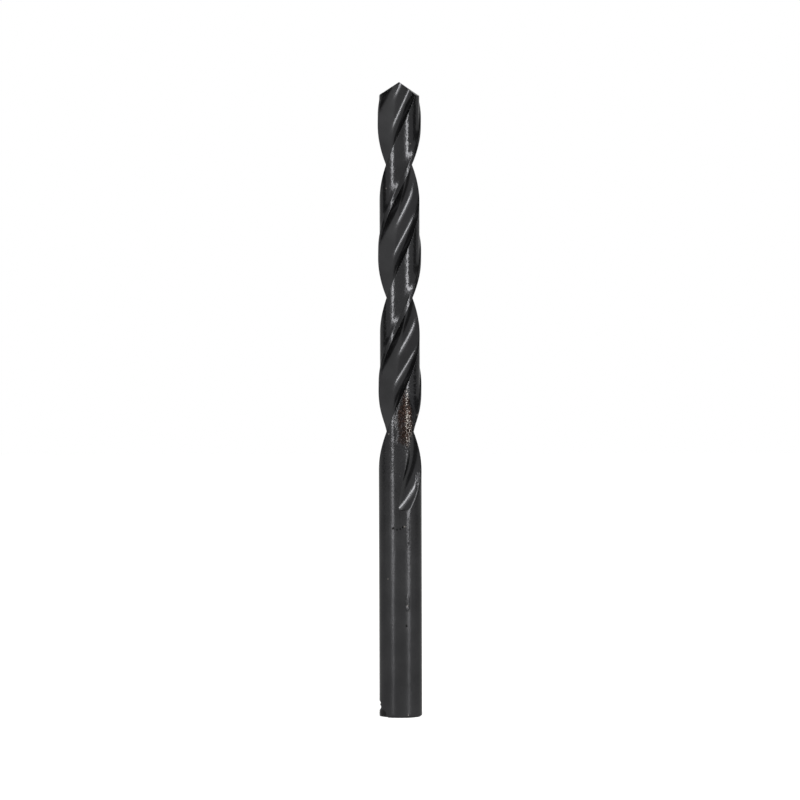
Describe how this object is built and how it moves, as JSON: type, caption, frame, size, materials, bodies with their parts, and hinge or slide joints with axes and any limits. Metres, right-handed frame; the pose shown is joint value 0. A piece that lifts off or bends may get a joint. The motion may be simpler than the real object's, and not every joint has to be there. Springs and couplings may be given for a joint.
{
  "type": "twist drill bit",
  "caption": "Straight-shank right-hand twist drill bit with deep helical flutes, narrow margins and a ground conical point.",
  "frame": {"origin": "centre of the flat shank end", "axes": "+Z along the drill's axis from the shank to the point; -Y is the side seen in the picture"},
  "size_m": [0.008, 0.008, 0.117],
  "materials": {
    "drill_steel": "black oxide over high-speed steel, satin, with a small brown scaly patch on one land"
  },
  "bodies": {
    "root": {"drill_bit": "drill_steel"}
  },
  "joints": []
}
